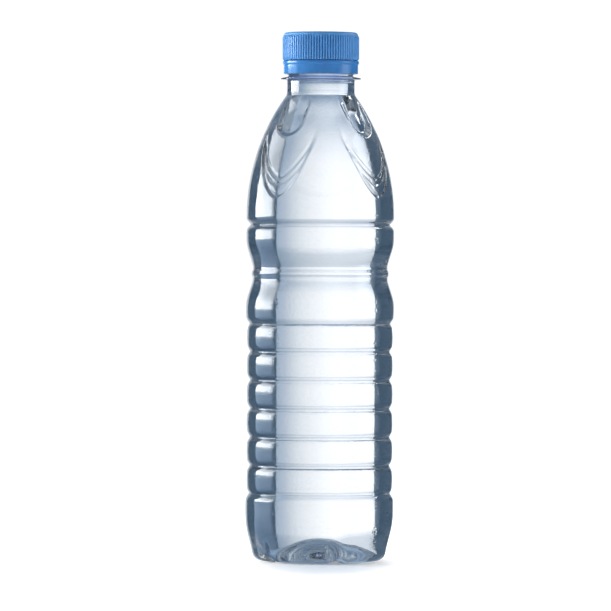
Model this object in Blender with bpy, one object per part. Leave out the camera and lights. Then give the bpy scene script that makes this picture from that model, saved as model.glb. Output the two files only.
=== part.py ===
"""Half-litre water bottle: blown PET bottle, water, tamper band, screw cap and seal liner.

Run with: blender --background --python part.py
Sizes below are in millimetres and are turned into metres when a mesh is made.
The origin is on the floor under the bottle's axis, +Z is up and -Y is the front.
Azimuths are in degrees from the front, positive towards +X.
"""
import math

import bmesh
import bpy

MM = 0.001

# Blown base: five feet round a raised dome
DOME_HEIGHT = 9.0
PAD_INNER_RADIUS = 17.5
PAD_OUTER_RADIUS = 20.8
HEEL_CENTRE_RADIUS = 23.2
HEEL_CENTRE_HEIGHT = 4.8
HEEL_RADIUS = 4.4
HEEL_ANGLES = (10.0, 33.0, 56.0, 80.0)
FOOT_COUNT = 5
VALLEY_AZIMUTH = 18.0
VALLEY_DEPTH = 2.2
VALLEY_HALF_ANGLE = 10.0
VALLEY_FLARE_ANGLE = 5.0
VALLEY_TOP = 18.0

# Body: crest outline as (height, radius), ring grooves, waist and bead
LOWER_WALL = ((6.0, 28.05), (10.9, 29.3), (15.0, 30.1), (20.0, 30.4), (25.0, 30.4))
CREST = ((25.0, 30.4), (31.0, 30.0), (94.5, 30.0), (103.5, 30.4), (132.0, 30.3), (141.5, 30.3))
RIB_PITCH = 11.65
LOWEST_GROOVE = 27.9
RIB_GROOVES = 7
GROOVE_HALF_WIDTH = 2.9
GROOVE_FLAT = 0.25
GROOVE_SPARE = 0.25
RIB_GROOVE_DEPTH = 1.25
UPPER_GROOVE = 138.1
UPPER_GROOVE_DEPTH = 1.65
WAIST_HEIGHT = 118.25
WAIST_HALF_WIDTH = 14.0
WAIST_DEPTH = 2.92
BEAD_HALF_WIDTH = 2.4
BEAD_DEPTH = 0.77

# Shoulder: one arc from the body to the neck, with four finger recesses and folded pockets
SHOULDER_START = 141.5
SHOULDER_RADIUS = 30.3
NECK_FOOT = 191.4
NECK_RADIUS = 13.9
SHOULDER_SIDES = 4
RECESS_AZIMUTH = -35.0
RECESS_CENTRE = 179.9
RECESS_OUTER = 6.2
RECESS_INNER = 2.6
RECESS_DEPTH = 1.8
RECESS_TOP = 190.5
RECESS_FADE = 3.5
ARCH_APEX = 180.6
FOLDS = ((158.6, 1.15), (155.2, 0.9), (150.1, 0.7))
FOLD_STEP = 0.2
FOLD_WIDTH = 1.6
FOLD_FADE_FROM = 164.0
FOLD_FADE_TO = 184.0

# Neck finish
BORE_RADIUS = 10.87
RING_RADIUS = 16.5
RING_HEIGHT = 197.9
RING_EDGE = 0.6
RING_ROOT = 1.7
COLLAR_RADIUS = 13.3
LOCK_BEAD_RADIUS = 14.0
LOCK_BEAD = (201.6, 202.4, 203.2)
FINISH_RADIUS = 12.5
MOUTH_HEIGHT = 214.4
MOUTH_CHAMFER = 0.4

WALL = 0.5
CLEARANCE = 0.3

# Water
WATER_LEVEL = 200.0

# Tamper band, left on the neck when the cap is first turned
BAND_BOTTOM = 199.8
BAND_TOP = 204.8
BAND_RADIUS = 15.3
BAND_LIP = 15.7
BAND_BORE = 14.45
BAND_HOOK = 13.75
BAND_HOOK_TOP = 201.1
BRIDGE_COUNT = 10
BRIDGE_WIDTH = 1.2

# Cap and liner
CAP_BOTTOM = 205.4
CAP_TOP = 216.9
CAP_CREST_RADIUS = 15.7
CAP_ROOT_RADIUS = 15.2
CAP_BORE = 14.1
CAP_CEILING = 215.6
CAP_RIBS = 87
RIB_BOTTOM = 205.9
RIB_TOP = 215.2
CAP_EDGE = 1.2
CAP_EDGE_ANGLES = (0.0, 30.0, 60.0, 90.0)
LINER_RADIUS = 13.4
LINER_BOTTOM = 214.7
LINER_TOP = 215.3

# Number of sides of each turned surface
BASE_SIDES = 40
BODY_SIDES = 28
INNER_BASE_SIDES = 20
INNER_BODY_SIDES = 16
SHOULDER_RING_SIDES = 32
SHOULDER_RINGS = 14
TOP_SHARE = 0.9
NECK_SIDES = 32
CAP_SIDES = 36


def smooth(t):
    """Smooth step from 0 to 1."""
    t = min(max(t, 0.0), 1.0)
    return t * t * (3.0 - 2.0 * t)


def interpolate(points, x):
    """Straight-line value at x on a list of (x, value) points."""
    for (x0, v0), (x1, v1) in zip(points, points[1:]):
        if x <= x1:
            return v0 + (v1 - v0) * (x - x0) / (x1 - x0)
    return points[-1][1]


def nearest_angle(azimuth, first, count):
    """Signed angle from the nearest of count features spaced evenly from the first azimuth."""
    step = 360.0 / count
    return (azimuth - first + step / 2.0) % step - step / 2.0


def grooves():
    """Ring grooves as (centre height, depth)."""
    ribs = [(LOWEST_GROOVE + i * RIB_PITCH, RIB_GROOVE_DEPTH) for i in range(RIB_GROOVES)]
    return ribs + [(UPPER_GROOVE, UPPER_GROOVE_DEPTH)]


def wall_radius(z):
    """Outer radius of the body and shoulder at height z, before the relief."""
    if z > SHOULDER_START:
        rise = NECK_FOOT - SHOULDER_START
        drop = SHOULDER_RADIUS - NECK_RADIUS
        arc = (rise ** 2 + drop ** 2) / (2.0 * drop)
        return SHOULDER_RADIUS - arc + math.sqrt(arc ** 2 - (z - SHOULDER_START) ** 2)
    radius = interpolate(CREST, z)
    for centre, depth in grooves():
        offset = abs(z - centre) / GROOVE_HALF_WIDTH
        radius -= depth * smooth((1.0 - offset) / (1.0 - GROOVE_FLAT))
    waist = min(abs(z - WAIST_HEIGHT) / WAIST_HALF_WIDTH, 1.0)
    radius -= WAIST_DEPTH * math.cos(math.pi / 2.0 * waist) ** 2
    bead = min(abs(z - WAIST_HEIGHT) / BEAD_HALF_WIDTH, 1.0)
    return radius + BEAD_DEPTH * math.cos(math.pi / 2.0 * bead) ** 2


def valley_relief(azimuth, radius, z):
    """Depth of the valleys between the feet."""
    height_share = min(z / VALLEY_TOP, 1.0)
    along = (1.0 - height_share) ** 1.5
    if radius < PAD_INNER_RADIUS:
        along = smooth(radius / PAD_INNER_RADIUS)
    half_angle = VALLEY_HALF_ANGLE + VALLEY_FLARE_ANGLE * height_share
    offset = abs(nearest_angle(azimuth, VALLEY_AZIMUTH, FOOT_COUNT)) / half_angle
    return VALLEY_DEPTH * along * smooth(1.0 - offset)


def recess_relief(azimuth, radius, z):
    """Depth of the round-ended finger recesses that run down from the neck."""
    across = math.radians(nearest_angle(azimuth, RECESS_AZIMUTH, SHOULDER_SIDES)) * radius
    slope = math.sqrt(1.0 + (z - SHOULDER_START) ** 2 / 84.0 ** 2)
    below = max(RECESS_CENTRE - z, 0.0) * slope
    distance = math.hypot(across, below)
    depth = RECESS_DEPTH * smooth((RECESS_OUTER - distance) / (RECESS_OUTER - RECESS_INNER))
    return depth * smooth((RECESS_TOP - z) / RECESS_FADE)


def fold_relief(azimuth, z):
    """Steps of the three nested folds between the arched faces of the shoulder."""
    share = 1.0 - abs(nearest_angle(azimuth, RECESS_AZIMUTH, SHOULDER_SIDES)) / 45.0
    depth = 0.0
    for bottom, power in FOLDS:
        line = ARCH_APEX - (ARCH_APEX - bottom) * share ** power
        depth += FOLD_STEP * smooth((z - line) / FOLD_WIDTH + 0.5)
    fade = 1.0 - smooth((z - FOLD_FADE_FROM) / (FOLD_FADE_TO - FOLD_FADE_FROM))
    return depth * smooth(share) * fade


def surface_point(azimuth, radius, z, tilt, inset):
    """Point on the bottle's wall, inset from its outer skin.

    The tilt is the angle of the outward normal from straight down, 90 on an upright wall.
    """
    relief = inset
    if z < VALLEY_TOP:
        relief += valley_relief(azimuth, radius, z)
    if z > SHOULDER_START:
        relief += recess_relief(azimuth, radius, z) + fold_relief(azimuth, z)
    angle = math.radians(tilt)
    return on_axis(azimuth, radius - relief * math.sin(angle), z + relief * math.cos(angle))


def on_axis(azimuth, radius, z):
    """Point at an azimuth, radius and height."""
    angle = math.radians(azimuth)
    return (radius * math.sin(angle), -radius * math.cos(angle), z)


def turned_ring(sides, radius, z):
    """Plain ring of points; a radius of zero gives the one point on the axis."""
    if radius == 0.0:
        return [(0.0, 0.0, z)]
    return [on_axis(360.0 * i / sides, radius, z) for i in range(sides)]


def wall_ring(sides, station, inset, start=0.0):
    """Ring of points on the bottle's wall at a (radius, height, tilt) station."""
    radius, z, tilt = station
    step = 360.0 / sides
    return [surface_point(start + step * i, radius, z, tilt, inset) for i in range(sides)]


def base_stations():
    """Foot outline from near the axis to the side wall, as (radius, height, tilt)."""
    stations = []
    for share in (0.3, 0.6, 0.85):
        height = DOME_HEIGHT * math.cos(math.pi / 2.0 * share) ** 2
        stations.append((PAD_INNER_RADIUS * share, height, 0.0))
    stations.append((PAD_INNER_RADIUS, 0.0, 0.0))
    stations.append((PAD_OUTER_RADIUS, 0.0, 0.0))
    for angle in HEEL_ANGLES:
        turn = math.radians(angle)
        radius = HEEL_CENTRE_RADIUS + HEEL_RADIUS * math.sin(turn)
        stations.append((radius, HEEL_CENTRE_HEIGHT - HEEL_RADIUS * math.cos(turn), angle))
    for height, radius in LOWER_WALL[:-1]:
        stations.append((radius, height, 90.0))
    return stations


def body_outline(inside):
    """Grooves, waist and bead as rising (height, radius) points, simpler for the inside."""
    outline = []
    offsets = (-1.0, 0.0, 1.0) if inside else (-1.0, -GROOVE_FLAT, GROOVE_FLAT, 1.0)
    for centre, _ in grooves():
        for offset in offsets:
            height = centre + offset * GROOVE_HALF_WIDTH
            spare = GROOVE_SPARE if offset == 0.0 else 0.0
            outline.append((height, wall_radius(height) - spare))
    for offset in (-0.95, -0.7, -0.45, 0.45, 0.7, 0.95):
        height = WAIST_HEIGHT + offset * WAIST_HALF_WIDTH
        outline.append((height, wall_radius(height)))
    for offset in (-1.0, -0.3, 0.3, 1.0):
        height = WAIST_HEIGHT + offset * BEAD_HALF_WIDTH
        outline.append((height, wall_radius(height)))
    return sorted(outline)


def wall_rings(inset, base_sides, body_sides, top_share):
    """Rings of the bottle's wall from the base's centre up to a share of the shoulder."""
    rings = [[(0.0, 0.0, DOME_HEIGHT + inset)]]
    for station in base_stations():
        rings.append(wall_ring(base_sides, station, inset))
    for height, radius in body_outline(inset > 0.0):
        rings.append(wall_ring(body_sides, (radius, height, 90.0), inset))
    start = nearest_angle(RECESS_AZIMUTH, 0.0, SHOULDER_RING_SIDES)
    for i in range(1, SHOULDER_RINGS):
        share = i / SHOULDER_RINGS
        height = SHOULDER_START + share * (NECK_FOOT - SHOULDER_START)
        if share < top_share:
            station = (wall_radius(height), height, 90.0)
            rings.append(wall_ring(SHOULDER_RING_SIDES, station, inset, start))
    return rings


def stitch(verts, faces, first, second):
    """Join two rings, given as vertex indices, by triangles with the shorter diagonals."""
    i = j = 0
    n, m = len(first), len(second)
    while i < n or j < m:
        here, there = first[i % n], second[j % m]
        next_here, next_there = first[(i + 1) % n], second[(j + 1) % m]
        step_here = math.dist(verts[next_here], verts[there])
        step_there = math.dist(verts[here], verts[next_there])
        if j == m or (i < n and step_here <= step_there):
            if n > 1:
                faces.append((here, next_here, there))
            i += 1
        else:
            if m > 1:
                faces.append((here, next_there, there))
            j += 1


def solid_from_rings(name, rings, colour, roughness, alpha=1.0):
    """Closed solid through a run of rings; a run that ends off the axis joins up with its start."""
    verts = []
    index = []
    for ring in rings:
        index.append(list(range(len(verts), len(verts) + len(ring))))
        verts.extend(ring)
    if len(index[-1]) > 1:
        index.append(index[0])
    faces = []
    for first, second in zip(index, index[1:]):
        stitch(verts, faces, first, second)
    return make_object(name, verts, faces, colour, roughness, alpha)


def make_object(name, verts, faces, colour, roughness, alpha):
    """Mesh object in metres with its own material."""
    mesh = bpy.data.meshes.new(name)
    mesh.from_pydata([(x * MM, y * MM, z * MM) for x, y, z in verts], [], faces)
    mesh.validate()
    mesh.shade_smooth()
    mesh.set_sharp_from_angle(angle=math.radians(35.0))
    material = bpy.data.materials.new(name)
    material.use_nodes = True
    shader = material.node_tree.nodes["Principled BSDF"]
    shader.inputs["Base Color"].default_value = (*colour, 1.0)
    shader.inputs["Roughness"].default_value = roughness
    shader.inputs["Metallic"].default_value = 0.0
    shader.inputs["Alpha"].default_value = alpha
    mesh.materials.append(material)
    thing = bpy.data.objects.new(name, mesh)
    bpy.context.scene.collection.objects.link(thing)
    return thing


def neck_rings():
    """Outside of the neck from the shoulder up, over the mouth and down into the bore."""
    half = RING_EDGE / 2.0
    outline = [
        (NECK_RADIUS, NECK_FOOT),
        (NECK_RADIUS, RING_HEIGHT - RING_ROOT / 2.0),
        (RING_RADIUS, RING_HEIGHT - half),
        (RING_RADIUS, RING_HEIGHT + half),
        (COLLAR_RADIUS, RING_HEIGHT + RING_ROOT / 2.0),
        (COLLAR_RADIUS, LOCK_BEAD[0]),
        (LOCK_BEAD_RADIUS, LOCK_BEAD[0]),
        (LOCK_BEAD_RADIUS, LOCK_BEAD[1]),
        (FINISH_RADIUS, LOCK_BEAD[2]),
        (FINISH_RADIUS, MOUTH_HEIGHT - MOUTH_CHAMFER),
        (FINISH_RADIUS - MOUTH_CHAMFER, MOUTH_HEIGHT),
    ]
    return [turned_ring(NECK_SIDES, radius, z) for radius, z in outline]


def make_bottle():
    """Blown bottle: outer skin, neck finish and inner skin in one solid."""
    outer = wall_rings(0.0, BASE_SIDES, BODY_SIDES, 1.0)
    inner = wall_rings(WALL, INNER_BASE_SIDES, INNER_BODY_SIDES, TOP_SHARE)
    mouth = turned_ring(INNER_BODY_SIDES, BORE_RADIUS, MOUTH_HEIGHT)
    bore_end = turned_ring(INNER_BODY_SIDES, BORE_RADIUS, NECK_FOOT)
    rings = outer + neck_rings() + [mouth, bore_end] + list(reversed(inner))
    return solid_from_rings("bottle", rings, (0.80, 0.88, 0.94), 0.05, 0.35)


def make_water():
    """Water that fills the bottle to the neck."""
    rings = wall_rings(WALL + CLEARANCE, INNER_BASE_SIDES, INNER_BODY_SIDES, TOP_SHARE)
    surface = BORE_RADIUS - CLEARANCE
    rings.append(turned_ring(INNER_BODY_SIDES, surface, NECK_FOOT))
    rings.append(turned_ring(INNER_BODY_SIDES, surface, WATER_LEVEL))
    rings.append(turned_ring(1, 0.0, WATER_LEVEL))
    return solid_from_rings("water", rings, (0.85, 0.92, 0.96), 0.0, 0.4)


def band_ring(radius, z):
    """Ring of the tamper band, with one narrow side at each bridge."""
    step = 360.0 / BRIDGE_COUNT
    half = math.degrees(BRIDGE_WIDTH / 2.0 / BAND_RADIUS)
    ring = []
    for i in range(BRIDGE_COUNT):
        for offset in (-half, half, step / 2.0):
            ring.append(on_axis(i * step + offset, radius, z))
    return ring


def make_tamper_band():
    """Band under the cap, hooked below the locking bead, with bridges on its top edge."""
    outline = [
        (BAND_BORE, BAND_TOP),
        (BAND_BORE, BAND_HOOK_TOP + 0.2),
        (BAND_HOOK, BAND_HOOK_TOP),
        (BAND_HOOK, BAND_BOTTOM + 0.3),
        (BAND_BORE, BAND_BOTTOM),
        (BAND_RADIUS, BAND_BOTTOM),
        (BAND_RADIUS, BAND_TOP - 1.1),
        (BAND_LIP, BAND_TOP - 0.9),
        (BAND_LIP, BAND_TOP - 0.2),
        (BAND_RADIUS, BAND_TOP),
    ]
    rings = [band_ring(radius, z) for radius, z in outline]
    band = solid_from_rings("tamper_band", rings, (0.06, 0.27, 0.62), 0.3)
    work = bmesh.new()
    work.from_mesh(band.data)
    edge = (BAND_TOP - 0.01) * MM
    width = (BRIDGE_WIDTH + BAND_RADIUS - BAND_BORE) * MM
    tops = []
    for face in work.faces:
        flat = all(vert.co.z > edge for vert in face.verts)
        if flat and max(side.calc_length() for side in face.edges) < width:
            tops.append(face)
    raised = bmesh.ops.extrude_face_region(work, geom=tops)
    moved = [item for item in raised["geom"] if isinstance(item, bmesh.types.BMVert)]
    bmesh.ops.translate(work, verts=moved, vec=(0.0, 0.0, CLEARANCE * MM))
    bmesh.ops.delete(work, geom=tops, context="FACES")
    work.to_mesh(band.data)
    work.free()
    return band


def ribbed_ring(z):
    """Ring of the cap's side, in and out once for each rib."""
    sides = 2 * CAP_RIBS
    radii = (CAP_CREST_RADIUS, CAP_ROOT_RADIUS)
    return [on_axis(360.0 * i / sides, radii[i % 2], z) for i in range(sides)]


def make_screw_cap():
    """Ribbed cap with a rounded top edge, open below."""
    rings = [
        turned_ring(1, 0.0, CAP_CEILING),
        turned_ring(CAP_SIDES, CAP_BORE, CAP_CEILING),
        turned_ring(CAP_SIDES, CAP_BORE, CAP_BOTTOM),
        turned_ring(CAP_SIDES, CAP_ROOT_RADIUS, CAP_BOTTOM),
        ribbed_ring(RIB_BOTTOM),
        ribbed_ring(RIB_TOP),
    ]
    for degrees in CAP_EDGE_ANGLES:
        turn = math.radians(degrees)
        radius = CAP_ROOT_RADIUS - CAP_EDGE * (1.0 - math.cos(turn))
        height = CAP_TOP - CAP_EDGE * (1.0 - math.sin(turn))
        rings.append(turned_ring(CAP_SIDES, radius, height))
    rings.append(turned_ring(1, 0.0, CAP_TOP))
    return solid_from_rings("screw_cap", rings, (0.10, 0.38, 0.75), 0.35)


def make_seal_liner():
    """Thin disc that seals the mouth under the cap."""
    rings = [
        turned_ring(1, 0.0, LINER_BOTTOM),
        turned_ring(NECK_SIDES, LINER_RADIUS, LINER_BOTTOM),
        turned_ring(NECK_SIDES, LINER_RADIUS, LINER_TOP),
        turned_ring(1, 0.0, LINER_TOP),
    ]
    return solid_from_rings("seal_liner", rings, (0.85, 0.87, 0.88), 0.6)


def main():
    for thing in list(bpy.data.objects):
        bpy.data.objects.remove(thing, do_unlink=True)
    make_bottle()
    make_water()
    make_tamper_band()
    make_screw_cap()
    make_seal_liner()


main()
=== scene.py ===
"""Dressed scene of the half-litre water bottle: fine shapes, materials, lights and camera.

Lengths in the shape functions are millimetres; meshes are made in metres.
Azimuths are degrees from the front (-Y), positive towards +X.
"""
import math

import bpy
import numpy as np
from mathutils import Matrix, Vector


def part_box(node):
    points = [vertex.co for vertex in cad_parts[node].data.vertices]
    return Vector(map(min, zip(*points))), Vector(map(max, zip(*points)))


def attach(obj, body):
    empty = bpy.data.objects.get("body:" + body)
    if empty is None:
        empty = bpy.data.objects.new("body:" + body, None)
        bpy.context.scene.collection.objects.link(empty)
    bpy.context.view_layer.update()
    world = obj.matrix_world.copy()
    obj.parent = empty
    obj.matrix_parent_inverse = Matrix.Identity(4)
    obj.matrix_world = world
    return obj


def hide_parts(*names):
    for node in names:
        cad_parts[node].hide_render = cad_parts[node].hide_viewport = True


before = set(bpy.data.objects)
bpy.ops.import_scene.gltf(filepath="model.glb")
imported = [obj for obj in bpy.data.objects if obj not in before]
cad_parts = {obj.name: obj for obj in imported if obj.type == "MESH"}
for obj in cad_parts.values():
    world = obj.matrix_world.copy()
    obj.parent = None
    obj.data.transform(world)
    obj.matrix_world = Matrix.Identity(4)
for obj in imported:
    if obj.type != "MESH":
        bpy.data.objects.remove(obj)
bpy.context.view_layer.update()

MM = 0.001
WATER_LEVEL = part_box("water")[1].z / MM

# ---------------------------------------------------------------- shape of the blown bottle
DOME_HEIGHT = 11.2
DOME_POWER = 1.7
DOME_ROUNDING = 0.04
PAD_INNER_RADIUS = 20.4
PAD_OUTER_RADIUS = 21.4
HEEL_CENTRE = (23.35, 4.85)
HEEL_RADIUS = 4.4
HEEL_END_ANGLE = 80.0
FOOT_COUNT = 5
VALLEY_AZIMUTH = 18.0
VALLEY_DEPTH = 1.6
VALLEY_HALF_ANGLE = 10.0
VALLEY_FLARE_ANGLE = 5.0
VALLEY_TOP = 19.0
VALLEY_FADE_POWER = 1.5
UPRIGHT_FROM = 12.0

CREST = (
    (4.09, 27.68),
    (5.9, 28.05),
    (10.9, 29.3),
    (14.5, 30.03),
    (20.0, 30.4),
    (25.0, 30.4),
    (31.0, 30.0),
    (94.5, 30.0),
    (103.5, 30.4),
    (132.0, 30.3),
    (141.5, 30.3),
)
RIB_PITCH = 11.65
CREST_ROUNDING = 0.26
LOWEST_GROOVE = 27.9
RIB_GROOVE_COUNT = 7
RIB_GROOVE_DEPTH = 1.0
HIGHEST_RIB_GROOVE = LOWEST_GROOVE + RIB_PITCH * (RIB_GROOVE_COUNT - 1)
UPPER_GROOVE = 138.1
UPPER_GROOVE_DEPTH = 1.65
GROOVE_HALF_WIDTH = 2.9
FURROW_ROUNDING = 0.16
FURROW_POWER = 2.3
WAIST_HEIGHT = 118.25
WAIST_HALF_WIDTH = 14.0
WAIST_DEPTH = 2.92
BEAD_HEIGHT = 118.1
BEAD_HALF_WIDTH = 2.4
BEAD_DEPTH = 0.77
GROOVES = [(LOWEST_GROOVE + RIB_PITCH * i, RIB_GROOVE_DEPTH) for i in range(RIB_GROOVE_COUNT)]
GROOVES.append((UPPER_GROOVE, UPPER_GROOVE_DEPTH))

SHOULDER_START = 141.5
SHOULDER_RADIUS = 30.3
NECK_FOOT = 191.4
NECK_RADIUS = 13.9
SHOULDER_ARC_RADIUS = 84.0
SIDE_ANGLE = 90.0
RECESS_AZIMUTH = -37.0
RECESS_CENTRE = 179.9
RECESS_OUTER = 7.0
RECESS_INNER = 4.4
RECESS_DEPTH = 1.8
RECESS_TOP = 191.4
RECESS_FADE = 9.0
FOLDS = ((157.0, 0.0939, 1.5, 1.1), (154.5, 0.0265, 1.9, 0.8), (149.9, 0.0443, 1.85, 0.95))
CREASE_DEPTH = 0.55
FOLD_STEP = 0.28
FOLD_STEP_WIDTH = 2.0
CREASE_LEAN = 0.28
CREASE_LEAN_ANGLE = 6.0
FRONT_ANGLE = 110.0
FOLD_REACH = (26.0, 37.0)
BACK_FOLD_REACH = (8.0, 18.0)
FOLD_FADE_FROM = 168.0
FOLD_FADE_LENGTH = 12.0
WAVER = 0.006

RING_RADIUS = 16.5
COLLAR_RADIUS = 13.3
FINISH_RADIUS = 12.5
BORE_RADIUS = 10.87
MOUTH_HEIGHT = 214.4
WALL = 0.5
THROAT = ((11.85, 191.6), (11.6, 193.4), (11.4, 195.4), (10.87, 197.6))
THROAT_FOOT = 190.4
THICKENING_FROM = 178.0
THICKENING_LENGTH = 12.0
THICKENING_DEPTH = 1.6
RING_FOOT = 196.95
RING_HEAD = 199.0
COLLAR_HEAD = 201.5

THREAD_PITCH = 2.7
THREAD_START = 205.6
THREAD_TURNS = 1.8
THREAD_HEIGHT = 1.1
THREAD_WIDTH = 1.1

BODY_SIDES = 144
SHOULDER_SIDES = 320
NECK_SIDES = 160
INNER_SIDES = 96
INNER_FINENESS = 0.5
SHARP_ANGLE = 50.0
DOME_RINGS = 22
FOOT_RINGS = 8
HEEL_RINGS = 18
LOWER_WALL_RINGS = 18
GROOVE_RINGS = 15
WAIST_RINGS = 32
SHOULDER_RINGS = 104


def smooth(t):
    """Smooth step from 0 to 1, for numbers or arrays."""
    t = np.clip(t, 0.0, 1.0)
    return t * t * (3.0 - 2.0 * t)


def bump(t):
    """Round-topped bump: 1 at 0 and 0 from 1 outward."""
    return np.cos(np.pi / 2.0 * np.clip(np.abs(t), 0.0, 1.0)) ** 2


def furrow(t):
    """Narrow-bottomed groove: 1 at 0 and 0 from 1 outward."""
    near = np.sqrt(np.clip(np.abs(t), 0.0, 1.0) ** 2 + FURROW_ROUNDING ** 2)
    end = math.sqrt(1.0 + FURROW_ROUNDING ** 2)
    return ((end - near) / (end - FURROW_ROUNDING)) ** FURROW_POWER


def curve_through(points, x):
    """Smooth curve through (x, value) points, without overshoot."""
    px = np.array([p[0] for p in points])
    py = np.array([p[1] for p in points])
    step = np.diff(px)
    slope = np.diff(py) / step
    tangent = np.zeros(len(px))
    same = slope[:-1] * slope[1:] > 0.0
    mean = 2.0 * slope[:-1] * slope[1:] / np.where(same, slope[:-1] + slope[1:], 1.0)
    tangent[1:-1] = np.where(same, mean, 0.0)
    tangent[0] = slope[0]
    tangent[-1] = slope[-1]
    k = np.clip(np.searchsorted(px, x) - 1, 0, len(step) - 1)
    t = (x - px[k]) / step[k]
    rest = 1.0 - t
    ends = py[k] * (1.0 + 2.0 * t) * rest ** 2 + py[k + 1] * t ** 2 * (3.0 - 2.0 * t)
    turns = t * rest ** 2 * tangent[k] - t ** 2 * rest * tangent[k + 1]
    return ends + step[k] * turns


def nearest_angle(azimuth, first, step):
    """Signed angle from the nearest of the features that repeat every step from the first."""
    return (azimuth - first + step / 2.0) % step - step / 2.0


def shoulder_radius(z):
    """Radius of the shoulder's one arc."""
    rise = NECK_FOOT - SHOULDER_START
    drop = SHOULDER_RADIUS - NECK_RADIUS
    arc = (rise ** 2 + drop ** 2) / (2.0 * drop)
    return SHOULDER_RADIUS - arc + math.sqrt(arc ** 2 - (z - SHOULDER_START) ** 2)


def wall_radius(z):
    """Outer radius of body and shoulder at height z, without the relief that varies around."""
    if z > SHOULDER_START:
        return shoulder_radius(z)
    radius = float(curve_through(CREST, z))
    for centre, depth in GROOVES:
        radius -= depth * float(furrow((z - centre) / GROOVE_HALF_WIDTH))
    radius -= WAIST_DEPTH * float(bump((z - WAIST_HEIGHT) / WAIST_HALF_WIDTH))
    if LOWEST_GROOVE < z < HIGHEST_RIB_GROOVE:
        phase = ((z - LOWEST_GROOVE) / RIB_PITCH + 0.5) % 1.0
        radius -= CREST_ROUNDING * float(bump(phase * 2.0 - 1.0))
    return radius + BEAD_DEPTH * float(bump((z - BEAD_HEIGHT) / BEAD_HALF_WIDTH))


def valley_relief(azimuth, radius, z):
    """Depth of the valleys between the feet."""
    share = min(z / VALLEY_TOP, 1.0)
    along = (1.0 - share) ** VALLEY_FADE_POWER
    if radius < PAD_INNER_RADIUS:
        along = smooth(radius / PAD_INNER_RADIUS)
    half = VALLEY_HALF_ANGLE + VALLEY_FLARE_ANGLE * share
    offset = np.abs(nearest_angle(azimuth, VALLEY_AZIMUTH, 360.0 / FOOT_COUNT)) / half
    return VALLEY_DEPTH * along * smooth(1.0 - offset)


def recess_relief(azimuth, radius, z):
    """Depth of the round-ended finger recesses."""
    across = np.radians(nearest_angle(azimuth, RECESS_AZIMUTH, SIDE_ANGLE)) * radius
    slope = math.sqrt(1.0 + ((z - SHOULDER_START) / SHOULDER_ARC_RADIUS) ** 2)
    below = max(RECESS_CENTRE - z, 0.0) * slope
    distance = np.hypot(across, below)
    depth = RECESS_DEPTH * smooth((RECESS_OUTER - distance) / (RECESS_OUTER - RECESS_INNER))
    return depth * smooth((RECESS_TOP - z) / RECESS_FADE)


def fold_relief(azimuth, radius, z):
    """Nested creases that sag between the arches of the shoulder, and the steps above them.

    Each fold is (lowest height, rise, power of the rise, half width). The creases are deeper on
    the arm with the lower azimuth, and the folds at the back are shorter.
    """
    sideways = nearest_angle(azimuth, RECESS_AZIMUTH, SIDE_ANGLE)
    offset = np.abs(sideways)
    arm = 1.0 - CREASE_LEAN * np.tanh(sideways / CREASE_LEAN_ANGLE)
    front = np.abs(nearest_angle(azimuth, 0.0, 360.0)) < FRONT_ANGLE
    start = np.where(front, FOLD_REACH[0], BACK_FOLD_REACH[0])
    end = np.where(front, FOLD_REACH[1], BACK_FOLD_REACH[1])
    strength = 1.0 - smooth((offset - start) / (end - start))
    crease = 0.0
    depth = 0.0
    for bottom, rise, power, width in FOLDS:
        line = bottom + rise * offset ** power
        steep = rise * power * offset ** (power - 1.0) / (radius * math.radians(1.0))
        distance = (z - line) / np.sqrt(1.0 + steep ** 2)
        crease = np.maximum(crease, CREASE_DEPTH * bump(distance / width))
        depth = depth + FOLD_STEP * smooth(distance / FOLD_STEP_WIDTH + 0.5)
    fade = 1.0 - smooth((z - FOLD_FADE_FROM) / FOLD_FADE_LENGTH)
    return (crease * arm + depth) * fade * strength


def waver(azimuth, z):
    """Slight unevenness of the blown wall, always inward, that fades out at the heel and neck."""
    turn = np.radians(azimuth)
    slow = np.sin(5.0 * turn + 0.31 * z + 0.7) + np.sin(9.0 * turn - 0.47 * z + 2.1)
    quick = np.sin(17.0 * turn + 0.83 * z + 4.0) + np.sin(23.0 * turn - 0.59 * z + 1.3)
    fade = float(smooth((z - 6.0) / 8.0) * smooth((189.0 - z) / 6.0))
    return WAVER * (3.0 + slow + 0.5 * quick) * fade


def wall_ring(sides, station, inset):
    """Ring on the bottle's wall, inset from its skin.

    The station is (radius, height, tilt), with the tilt of the normal from straight down.
    """
    radius, z, tilt = station
    azimuth = np.arange(sides) * 360.0 / sides
    relief = inset + waver(azimuth, z)
    if inset > 0.0:
        relief += THICKENING_DEPTH * float(smooth((z - THICKENING_FROM) / THICKENING_LENGTH))
    if z < VALLEY_TOP:
        relief += valley_relief(azimuth, radius, z)
    if z > SHOULDER_START:
        relief += recess_relief(azimuth, radius, z) + fold_relief(azimuth, radius, z)
    turn = math.radians(tilt)
    return polar(azimuth, radius - relief * math.sin(turn), z + relief * math.cos(turn))


def polar(azimuth, radius, z):
    """Points from azimuths in degrees, radii and heights."""
    turn = np.radians(azimuth)
    radius = np.broadcast_to(radius, turn.shape)
    z = np.broadcast_to(z, turn.shape)
    return np.stack([radius * np.sin(turn), -radius * np.cos(turn), z], axis=1)


def turned(sides, radius, z):
    """Plain ring, or the one point on the axis."""
    if radius == 0.0:
        return np.array([[0.0, 0.0, z]])
    return polar(np.arange(sides) * 360.0 / sides, radius, z)


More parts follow.
